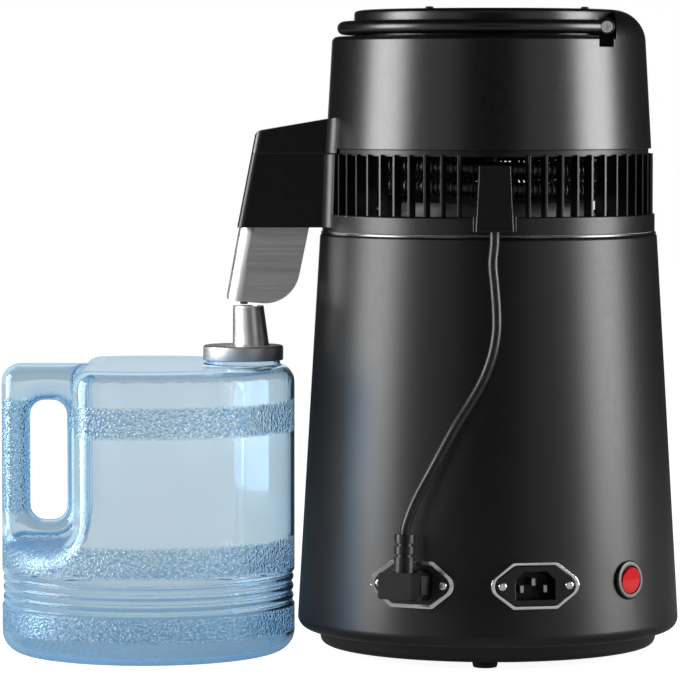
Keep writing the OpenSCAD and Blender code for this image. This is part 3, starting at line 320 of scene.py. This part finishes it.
MATERIALS = {name: surface(name, **look) for name, look in LOOKS.items()}
MATERIALS["jug_plastic"] = jug_material()
MATERIALS["tank_steel"] = tank_material()

# Nodes that differ a little from the rest of their slot
OWN_LOOKS = {
    "vent_ring": "ring_gloss", "steam_lid": "lid_steel_painted_shade", "boiler_tank": "tank_steel",
    "handle_screws": "zinc", "inlet_pins": "nickel", "jug_cap": "cap_steel", "head_plug": "plug_satin",
}

slots = {piece["node"]: piece["material_slot"] for piece in frame["record"]["subparts"]}
for name, node in nodes.items():
    node.data.materials.clear()
    node.data.materials.append(MATERIALS[OWN_LOOKS.get(name, slots[name])])


# Edges of the steel and chrome pieces and of the rocker, rounded a little so that they catch the light

SOFT_EDGES = {
    "spout_nozzle": 0.0006, "jug_cap": 0.0005, "cap_funnel": 0.0005, "inlet_frame": 0.0006,
    "outlet_frame": 0.0006, "switch_rocker": 0.0005,
}
SOFT_EDGE_ANGLE = 35
WELD_REACH = 0.00001


def soften(node, width):
    """Joins the node's split points and rounds its sharp edges."""
    weld = node.modifiers.new("weld", "WELD")
    weld.merge_threshold = WELD_REACH
    bevel = node.modifiers.new("bevel", "BEVEL")
    bevel.width = width
    bevel.segments = 2
    bevel.limit_method = "ANGLE"
    bevel.angle_limit = math.radians(SOFT_EDGE_ANGLE)
    bevel.use_clamp_overlap = True
    bevel.harden_normals = True


for name, width in SOFT_EDGES.items():
    soften(nodes[name], width)


# Mesh helpers

def new_piece(name, verts, faces, look):
    """A mesh object in the scene, with one material."""
    mesh = bpy.data.meshes.new(name)
    mesh.from_pydata(verts, [], faces)
    mesh.materials.append(look)
    piece = bpy.data.objects.new(name, mesh)
    bpy.context.scene.collection.objects.link(piece)
    return piece


def smooth(piece, sharp_angle):
    """Shades a piece smooth, apart from edges that turn by more than the given degrees."""
    piece.data.shade_smooth()
    piece.data.set_sharp_from_angle(angle=math.radians(sharp_angle))


def skin(first, count, size):
    """Faces of a closed body through count rings of size points each, numbered on from first."""
    rings = [[first + j * size + k for k in range(size)] for j in range(count)]
    faces = [rings[0][::-1], rings[-1]]
    for below, above in zip(rings, rings[1:]):
        for k in range(size):
            n = (k + 1) % size
            faces.append([below[k], below[n], above[n], above[k]])
    return faces


# Jug

JUG_HEIGHT = 0.174
JUG_WALL = 0.0022
JUG_FOOT_ROUND = 0.013
JUG_SHOULDER_ROUND = 0.011
# Thickness that the wall gains towards the foot, where that starts, and the height that it takes
FOOT_WALL = 0.0014
FOOT_WALL_START = 0.060
FOOT_WALL_RISE = 0.030
# Three ribs in a sunken band: the ribs' axes lie inside the band's floor, and their crests inside the wall
RIB_MIDDLE = 0.0392
RIB_PITCH = 0.0058
RIB_RADIUS = 0.0026
RIB_ZONE = 0.0102
RIB_DEPTH = 0.0018
RIB_AXIS = RIB_DEPTH + 0.0014
RIB_CREST = 0.0006
# The handle, left between two pockets, and its window
GRIP_THICKNESS = 0.028
GRIP_EDGE = -JUG_RADIUS + 0.0468
GRIP_FLOOR = 0.0675
GRIP_CORNER = 0.015
WINDOW_MIDDLE = (-JUG_RADIUS + 0.0282, 0.11575)
WINDOW_SIZE = (0.0224, 0.0725)
WINDOW_CORNER = 0.009
NECK_RADIUS = 0.022
NECK_TOP = 0.1828
NECK_MIDDLE = 0.16
NECK_X = JUG_RADIUS - 0.031
# Widths over which the forms run into each other
GRIP_BLEND = 0.008
POCKET_BLEND = 0.010
WINDOW_BLEND = 0.014
NECK_BLEND = 0.002
# Grid on which the surface is found, finer in height at the ribs
GRID_PITCH = 0.0022
RIB_GRID_PITCH = 0.0006
RIB_GRID_MARGIN = 0.003
# Rounds in which points settle on the surface, with the step that finds its slope
SETTLE_ROUNDS = 4
SETTLE_REACH = 0.002
SLOPE_STEP = 0.00002
LEAST_SLOPE = 0.2


def soft_max(a, b, width):
    """The larger of two distances, with a round change from one to the other."""
    h = np.clip(0.5 + 0.5 * (a - b) / width, 0, 1)
    return a * h + b * (1 - h) + width * h * (1 - h)


def rounded_corner(a, b, radius):
    """Distance to the corner where a and b are both negative, rounded by radius."""
    u, v = a + radius, b + radius
    return np.hypot(np.maximum(u, 0), np.maximum(v, 0)) + np.minimum(np.maximum(u, v), 0) - radius


def rib_inset(z):
    """How far the ribbed band lies inside the jug's full radius at height z."""
    inset = np.clip((RIB_ZONE - np.abs(z - RIB_MIDDLE)) / RIB_DEPTH, 0, 1) * RIB_DEPTH
    for i in (-1, 0, 1):
        reach = RIB_RADIUS ** 2 - (z - RIB_MIDDLE - i * RIB_PITCH) ** 2
        bead = RIB_AXIS - np.sqrt(np.maximum(reach, 0))
        inset = np.where(reach > 0, np.minimum(inset, np.maximum(bead, RIB_CREST)), inset)
    return inset


def jug_distance(points):
    """Signed distance to the jug's outside at points in the jug's own frame."""
    x, y, z = points[..., 0], points[..., 1], points[..., 2]
    wall = np.hypot(x, y) - JUG_RADIUS + rib_inset(z)
    low = rounded_corner(wall, -z, JUG_FOOT_ROUND)
    high = rounded_corner(wall, z - JUG_HEIGHT, JUG_SHOULDER_ROUND)
    jug = np.where(z < JUG_HEIGHT / 2, low, high)
    pocket = rounded_corner(x - GRIP_EDGE, GRIP_FLOOR - z, GRIP_CORNER)
    pocket = soft_max(pocket, GRIP_THICKNESS / 2 - np.abs(y), GRIP_BLEND)
    jug = soft_max(jug, -pocket, POCKET_BLEND)
    wide = np.abs(x - WINDOW_MIDDLE[0]) - WINDOW_SIZE[0] / 2
    tall = np.abs(z - WINDOW_MIDDLE[1]) - WINDOW_SIZE[1] / 2
    jug = soft_max(jug, -rounded_corner(wide, tall, WINDOW_CORNER), WINDOW_BLEND)
    round_neck = np.hypot(x - NECK_X, y) - NECK_RADIUS
    neck = np.maximum(round_neck, np.abs(z - NECK_MIDDLE) - (NECK_TOP - NECK_MIDDLE))
    return -soft_max(-jug, -neck, NECK_BLEND)


def surface_net(field, places):
    """Vertices and quads of the zero surface of a field that is given at a grid of places."""
    shape = np.array(field.shape) - 1
    total = np.zeros((*shape, 3))
    count = np.zeros(shape)
    corners = [(i, j, k) for i in (0, 1) for j in (0, 1) for k in (0, 1)]

    def at_corner(array, c):
        return array[c[0]:c[0] + shape[0], c[1]:c[1] + shape[1], c[2]:c[2] + shape[2]]

    for a in corners:
        for axis in range(3):
            if a[axis] == 0:
                b = tuple(1 if n == axis else a[n] for n in range(3))
                fa, fb = at_corner(field, a), at_corner(field, b)
                crossing = (fa < 0) != (fb < 0)
                t = np.where(crossing, fa / np.where(crossing, fa - fb, 1), 0)[..., None]
                point = at_corner(places, a) * (1 - t) + at_corner(places, b) * t
                total += np.where(crossing[..., None], point, 0)
                count += crossing
    used = count > 0
    index = np.full(shape, -1)
    index[used] = np.arange(used.sum())
    verts = total[used] / count[used][:, None]
    quads = []
    for axis in range(3):
        ahead = np.roll(field, -1, axis)
        cells = np.argwhere((field < 0) != (ahead < 0))
        u, v = [n for n in range(3) if n != axis]
        fits = (cells[:, u] > 0) & (cells[:, v] > 0) & (cells[:, axis] < shape[axis])
        fits &= (cells[:, u] < shape[u]) & (cells[:, v] < shape[v])
        cells = cells[fits]
        step_u, step_v = np.eye(3, dtype=int)[u], np.eye(3, dtype=int)[v]
        ring = [cells, cells - step_u, cells - step_u - step_v, cells - step_v]
        quad = np.stack([index[tuple(c.T)] for c in ring], 1)
        outward = field[tuple(cells.T)] < 0
        flip = outward if axis == 1 else ~outward
        quad[flip] = quad[flip][:, ::-1]
        quads.append(quad)
    return verts, np.concatenate(quads)


def jug_wall(points):
    """Thickness of the wall, which grows towards the foot."""
    return JUG_WALL + FOOT_WALL * np.clip((FOOT_WALL_START - points[..., 2]) / FOOT_WALL_RISE, 0, 1)


def settle(points, inside):
    """Moves points onto the jug's outside or onto the inside of its wall."""
    for _ in range(SETTLE_ROUNDS):
        outer = jug_distance(points)
        off = outer + jug_wall(points) if inside else outer
        ahead = [jug_distance(points + SLOPE_STEP * axis) for axis in np.eye(3)]
        slope = np.stack([(distance - outer) / SLOPE_STEP for distance in ahead], -1)
        length = np.maximum((slope ** 2).sum(-1), LEAST_SLOPE)
        points = points - slope * (np.clip(off, -SETTLE_REACH, SETTLE_REACH) / length)[:, None]
    return points


def jug_grid():
    """Places of the grid that holds the jug."""
    side = np.arange(-JUG_RADIUS - 2 * GRID_PITCH, JUG_RADIUS + 3 * GRID_PITCH, GRID_PITCH)
    fine_low = RIB_MIDDLE - RIB_ZONE - RIB_GRID_MARGIN
    fine_high = RIB_MIDDLE + RIB_ZONE + RIB_GRID_MARGIN
    heights = np.concatenate([
        np.arange(-2 * GRID_PITCH, fine_low, GRID_PITCH),
        np.arange(fine_low, fine_high, RIB_GRID_PITCH),
        np.arange(fine_high, NECK_TOP + 3 * GRID_PITCH, GRID_PITCH),
    ])
    return np.stack(np.meshgrid(side, side, heights, indexing="ij"), -1)


def jug_piece():
    """The jug's outside and inside as one smooth mesh."""
    places = jug_grid()
    field = jug_distance(places)
    verts, faces, outside = [], [], []
    for inside in (False, True):
        points, quads = surface_net(field + jug_wall(places) if inside else field, places)
        points = settle(points, inside)
        faces.append((quads[:, ::-1] if inside else quads) + len(outside))
        verts.append(points + np.array((JUG_X, 0, 0)))
        outside += [0.0 if inside else 1.0] * len(points)
    faces = np.concatenate(faces).tolist()
    piece = new_piece("jug", np.concatenate(verts), faces, MATERIALS["jug_plastic"])
    piece.data.shade_smooth()
    piece.data.attributes.new("outside", "FLOAT", "POINT").data.foreach_set("value", outside)
    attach(piece, "jug")
    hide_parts("jug_body")
    piece.visible_shadow = False


jug_piece()


# Cord

TUBE_SIDES = 20
TUBE_SHARP_ANGLE = 50
CORD_RADIUS = 0.0029
# Route of the head's cord, as in the part: from inside the gland down to inside the plug's boot
CORD_ROUTE = [
    (0.0895, -0.106, 0.263), (0.0895, -0.106, 0.250), (0.0885, -0.107, 0.238), (0.0895, -0.108, 0.226),
    (0.0905, -0.109, 0.213), (0.0905, -0.110, 0.199), (0.088, -0.111, 0.185), (0.083, -0.112, 0.1715),
    (0.0755, -0.113, 0.158), (0.067, -0.1145, 0.1445), (0.0595, -0.1155, 0.131), (0.052, -0.1155, 0.117),
    (0.0445, -0.1155, 0.103), (0.040, -0.115, 0.092), (0.0378, -0.1145, 0.084), (0.0375, -0.114, 0.0765),
]
# The point of the route at which its two stretches meet, and the steps between points
CORD_SPLIT = 11
CORD_STEPS = 8


def smooth_route(points, steps):
    """Points along a smooth curve through the given ones."""
    p = [Vector(q) for q in points]
    p = [2 * p[0] - p[1]] + p + [2 * p[-1] - p[-2]]
    route = []
    for i in range(1, len(p) - 2):
        for k in range(steps):
            t = k / steps
            a, b, c, d = p[i - 1], p[i], p[i + 1], p[i + 2]
            route.append(0.5 * (2 * b + (c - a) * t + (2 * a - 5 * b + 4 * c - d) * t ** 2
                                + (3 * b - a - 3 * c + d) * t ** 3))
    return route + [p[-2]]


def tube_piece(name, route, radius, first, last, look):
    """A closed round tube along a route from its point first to its point last."""
    verts = []
    normal = Vector((1, 0, 0))
    for i in range(first, last + 1):
        tangent = (route[min(i + 1, len(route) - 1)] - route[max(i - 1, 0)]).normalized()
        normal = (normal - normal.dot(tangent) * tangent).normalized()
        side = tangent.cross(normal)
        for k in range(TUBE_SIDES):
            angle = 2 * math.pi * k / TUBE_SIDES
            verts.append(route[i] + radius * (math.cos(angle) * normal + math.sin(angle) * side))
    piece = new_piece(name, verts, skin(0, last - first + 1, TUBE_SIDES), look)
    smooth(piece, TUBE_SHARP_ANGLE)
    return piece


cord_line = smooth_route(CORD_ROUTE, CORD_STEPS)
cord_split = CORD_SPLIT * CORD_STEPS
cord_end = len(cord_line) - 1


def cord_piece(name, first, last, node):
    """One stretch of the cord along its route, in place of the given node of the part."""
    piece = tube_piece(name, cord_line, CORD_RADIUS, first, last, MATERIALS["cord_rubber"])
    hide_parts(node)
    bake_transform(piece)


cord_piece("cord_to_head", 0, cord_split, "cord_upper")
cord_piece("cord_to_plug", cord_split, cord_end, "cord_lower")


# Condenser coil, measured from the boiler's axis

COIL_RADIUS = 0.074
COIL_TUBE = 0.0042
COIL_PITCH = 0.012
COIL_TOP = 0.302
COIL_END = 0.272
COIL_TURNS = (COIL_TOP - COIL_END) / COIL_PITCH
# Points to a turn, and steps between points
COIL_POINTS = 40
COIL_STEPS = 3
COIL_LEAD = [
    (0, 0, 0.274), (0, 0, 0.285), (0, 0, 0.293), (0.0025, 0, 0.2995), (0.009, 0, COIL_TOP),
    (0.030, 0, COIL_TOP), (0.052, 0, COIL_TOP), (0.062, 0.0015, COIL_TOP), (0.069, 0.0065, COIL_TOP),
]
COIL_TAIL = [
    (-0.075, 0.009, COIL_END), (-0.080, 0.0032, COIL_END), (-0.087, 0.0006, COIL_END),
    (-0.096, 0, COIL_END), (-0.115, 0, COIL_END), (-0.124, 0, 0.2706), (-0.1294, 0, 0.2656),
    (-0.131, 0, 0.259), (-0.131, 0, 0.250),
]
# A larger fin stands at each point of the coil, with fine ones between, and none near the coil's ends
FINS_TO_POINT = 4
FIN_FREE_POINTS = 3
FINE_FIN_RADIUS = 0.0056
FINE_FIN_HALF = 0.00015
FINE_FIN_SIDES = 28


def coil_piece():
    """The tube that rises from the lid, winds down round the head and leaves through the spout."""
    # The lead and the tail take the place of the helix's own ends
    helix = []
    for i in range(2, round(COIL_TURNS * COIL_POINTS) - 1):
        angle = 2 * math.pi * i / COIL_POINTS
        helix.append((COIL_RADIUS * math.cos(angle), COIL_RADIUS * math.sin(angle),
                      COIL_TOP - COIL_PITCH * i / COIL_POINTS))
    route = smooth_route(COIL_LEAD + helix + COIL_TAIL, COIL_STEPS)
    route = [point + Vector((UNIT_X, 0, 0)) for point in route]
    # The coil's dark steel is painted shade
    piece = tube_piece("coil", route, COIL_TUBE, 0, len(route) - 1, MATERIALS["coil_steel_painted_shade"])
    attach(piece, "head")
    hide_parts("condenser_coil")


def fin_piece():
    """Fine fins that stand between the coil's larger ones."""
    up = Vector((0, 0, 1))
    last = round((COIL_TURNS * COIL_POINTS - FIN_FREE_POINTS) * FINS_TO_POINT)
    verts, faces = [], []
    for i in range(FIN_FREE_POINTS * FINS_TO_POINT, last):
        if i % FINS_TO_POINT:
            angle = 2 * math.pi * i / FINS_TO_POINT / COIL_POINTS
            out = Vector((math.cos(angle), math.sin(angle), 0))
            along = Vector((-math.sin(angle), math.cos(angle), 0))
            drop = COIL_PITCH * angle / 2 / math.pi
            middle = COIL_RADIUS * out + Vector((UNIT_X, 0, COIL_TOP - drop))
            faces += skin(len(verts), 2, FINE_FIN_SIDES)
            for shift in (FINE_FIN_HALF, -FINE_FIN_HALF):
                for k in range(FINE_FIN_SIDES):
                    turn = 2 * math.pi * k / FINE_FIN_SIDES
                    spoke = math.cos(turn) * out + math.sin(turn) * up
                    verts.append(middle + shift * along + FINE_FIN_RADIUS * spoke)
    # The fins' dark aluminium is painted shade
    piece = new_piece("fine_fins", verts, faces, MATERIALS["aluminium"])
    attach(piece, "head")


coil_piece()
fin_piece()


# Spout corners, measured from the boiler's axis

SPOUT_HALF = 0.029
SPOUT_FOOT = 0.257
SPOUT_PARTING = 0.301
SPOUT_PARTING_HALF = 0.00025
SPOUT_TOP = 0.32325
SPOUT_TOP_X = -0.088
SPOUT_TOP_SLOPE = 0.171
# Radius of the vent ring at the spout's foot and of the cover at its own foot, and how they narrow upwards
RING_RADIUS = 0.1002
RING_TAPER = 0.027
COVER_RADIUS = 0.098
COVER_FOOT = 0.304
COVER_TAPER = 0.0567
# The corner's radius, how far its edges lie in the walls, and how far its back reaches into them
CORNER_RADIUS = 0.009
CORNER_SINK = 0.0002
CORNER_ROOT = 0.001
CORNER_STEPS = 14
CORNER_LEVELS = 10
CORNER_SHARP_ANGLE = 35


def ring_radius(z):
    return RING_RADIUS - RING_TAPER * (z - SPOUT_FOOT)


def cover_radius(z):
    return COVER_RADIUS - COVER_TAPER * (z - COVER_FOOT)


def corner_section(radius):
    """Points of one concave corner where the spout's side meets a round wall of the given radius."""
    across = SPOUT_HALF + CORNER_RADIUS - CORNER_SINK
    reach = radius + CORNER_RADIUS - CORNER_SINK
    middle = -math.sqrt(reach ** 2 - across ** 2)
    turns = [math.acos(across / reach) * i / CORNER_STEPS for i in range(CORNER_STEPS + 1)]
    section = [(middle + CORNER_RADIUS * math.sin(turn), across - CORNER_RADIUS * math.cos(turn))
               for turn in turns]
    root = -math.sqrt(radius ** 2 - SPOUT_HALF ** 2) + CORNER_ROOT
    return section + [(root, SPOUT_HALF - CORNER_ROOT)]


def corner_piece(name, low, high, wall_radius):
    """Concave corners in which both sides of the spout run into the head, between two heights."""
    verts, faces = [], []
    for side in (-1, 1):
        quads = skin(len(verts), CORNER_LEVELS + 1, CORNER_STEPS + 2)
        faces += quads if side > 0 else [face[::-1] for face in quads]
        for j in range(CORNER_LEVELS + 1):
            z = low + (high - low) * j / CORNER_LEVELS
            for x, y in corner_section(wall_radius(z)):
                top = SPOUT_TOP + (x - SPOUT_TOP_X) * SPOUT_TOP_SLOPE
                verts.append((UNIT_X + x, side * y, min(z, top)))
    piece = new_piece(name, verts, faces, MATERIALS["ring_gloss"])
    smooth(piece, CORNER_SHARP_ANGLE)
    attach(piece, "head")


corner_piece("spout_corners_low", SPOUT_FOOT, SPOUT_PARTING - SPOUT_PARTING_HALF, ring_radius)
corner_piece("spout_corners_high", SPOUT_PARTING + SPOUT_PARTING_HALF, SPOUT_TOP, cover_radius)


# Camera, lights and backdrop

# The photo's camera, fitted to it: distance, height, lens and the tilt that puts the horizon in place
CAMERA_DISTANCE = 2.6
CAMERA_HEIGHT = 0.336
CAMERA_SIGHT = 20
SENSOR_WIDTH = 36
PHOTO_SIZE = 680
FOCAL_PIXELS = 4308
HORIZON_PIXEL = 95

LAMP_TARGET = Vector((UNIT_X, 0, 0.2))

# For each kind of ray: the Y of its direction from which the world changes, its strength before that and
# its strength straight behind the part
BACKDROP_DIM = 0.02
BACKDROP_BEHIND = 0.995
BACKDROP_RAYS = (
    ("Is Glossy Ray", 0.97, BACKDROP_DIM, 1),
    ("Transmission Depth", 0.5, 1.0, 0.6),
    ("Is Camera Ray", -2, 1, 1),
)

# The floor's own light near the part, as the camera sees it and through clear pieces, and the distances
# from the middle over which both grow. Through clear pieces its dimness near the part is a painted shadow.
FLOOR_HALF = 6
FLOOR_GREY = 0.5
FLOOR_GLOW = 0.93
FLOOR_GLOW_SPAN = (0.4, 2.0)
FLOOR_THROUGH_WITH_SHADOW = (0.05, 0.33)
FLOOR_THROUGH_SHADOW_SPAN = (0.1, 1.6)


def photo_camera():
    data = bpy.data.cameras.new("camera")
    data.sensor_width = SENSOR_WIDTH
    data.lens = FOCAL_PIXELS / PHOTO_SIZE * SENSOR_WIDTH
    data.clip_end = CAMERA_SIGHT
    camera = bpy.data.objects.new("camera", data)
    camera.location = (0, -CAMERA_DISTANCE, CAMERA_HEIGHT)
    tilt = math.atan((PHOTO_SIZE / 2 - HORIZON_PIXEL) / FOCAL_PIXELS)
    camera.rotation_euler = (math.pi / 2 - tilt, 0, 0)
    bpy.context.scene.collection.objects.link(camera)
    bpy.context.scene.camera = camera


def softbox(name, place, size, power):
    """A flat white lamp that faces the boiler."""
    data = bpy.data.lights.new(name, "AREA")
    data.shape = "RECTANGLE"
    data.size, data.size_y = size
    data.energy = power
    lamp = bpy.data.objects.new(name, data)
    lamp.location = place
    lamp.rotation_euler = (LAMP_TARGET - Vector(place)).to_track_quat("-Z", "Y").to_euler()
    bpy.context.scene.collection.objects.link(lamp)


def white_backdrop():
    """White to the camera, dim in mirrors except straight behind, and a little dim there through the jug."""
    world = bpy.data.worlds.new("backdrop")
    bpy.context.scene.world = world
    shader = Shader(world, "ShaderNodeOutputWorld")
    path = shader.add("ShaderNodeLightPath")
    split = shader.add("ShaderNodeSeparateXYZ")
    shader.link(shader.add("ShaderNodeTexCoord").outputs["Generated"], split.inputs[0])
    dim = (BACKDROP_DIM, BACKDROP_DIM, BACKDROP_DIM, 1)
    shown = shader.add("ShaderNodeBackground", {"Color": dim}).outputs[0]
    for ray, start, before, behind in BACKDROP_RAYS:
        light = shader.add("ShaderNodeBackground", {"Color": (1, 1, 1, 1)})
        strength = shader.ramp(split.outputs["Y"], start, BACKDROP_BEHIND, before, behind,
                               interpolation_type="SMOOTHSTEP")
        shader.link(strength, light.inputs["Strength"])
        shown = shader.mix(path.outputs[ray], shown, light.outputs[0])
    shader.show(shown)


def pale_floor():
    """A white floor that keeps a soft shadow: most of its white is its own and grows with the distance;
    through clear pieces it has a painted shadow near the part.
    """
    shader = Shader(bpy.data.materials.new("floor_white"))
    matt = shader.add("ShaderNodeBsdfDiffuse", {"Color": (FLOOR_GREY, FLOOR_GREY, FLOOR_GREY, 1)})
    light = shader.add("ShaderNodeEmission")
    path = shader.add("ShaderNodeLightPath")
    length = shader.add("ShaderNodeVectorMath", operation="LENGTH")
    shader.link(shader.place(), length.inputs[0])
    distance = length.outputs["Value"]
    # Painted shadow: through clear pieces the floor's own light is dim near the part and grows away from it
    behind = shader.ramp(distance, *FLOOR_THROUGH_SHADOW_SPAN, *FLOOR_THROUGH_WITH_SHADOW)
    through = shader.times(shader.ramp(path.outputs["Transmission Depth"], 0, 1, 0, 1), behind)
    glow = shader.ramp(distance, *FLOOR_GLOW_SPAN, FLOOR_GLOW, 1)
    seen = shader.times(path.outputs["Is Camera Ray"], glow)
    shader.link(shader.math("MAXIMUM", seen, through), light.inputs["Strength"])
    both = shader.add("ShaderNodeAddShader")
    shader.link(matt.outputs[0], both.inputs[0])
    shader.link(light.outputs[0], both.inputs[1])
    shader.show(both.outputs[0])
    corners = [(x * FLOOR_HALF, y * FLOOR_HALF, 0) for x, y in ((-1, -1), (1, -1), (1, 1), (-1, 1))]
    floor = new_piece("floor", corners, [(0, 1, 2, 3)], shader.owner)


photo_camera()
white_backdrop()
pale_floor()
for side in (-1, 1):
    softbox("side_strip", (UNIT_X + side * 1.5, -0.30, 0.35), size=(0.8, 1.3), power=34)
    softbox("side_fill", (UNIT_X + side * 1.0, -1.5, 0.4), size=(0.8, 1.4), power=1.7)
softbox("front_fill", (0.2, -2.4, 1.8), size=(1.6, 0.8), power=1.5)

bpy.context.scene.view_settings.view_transform = "Standard"
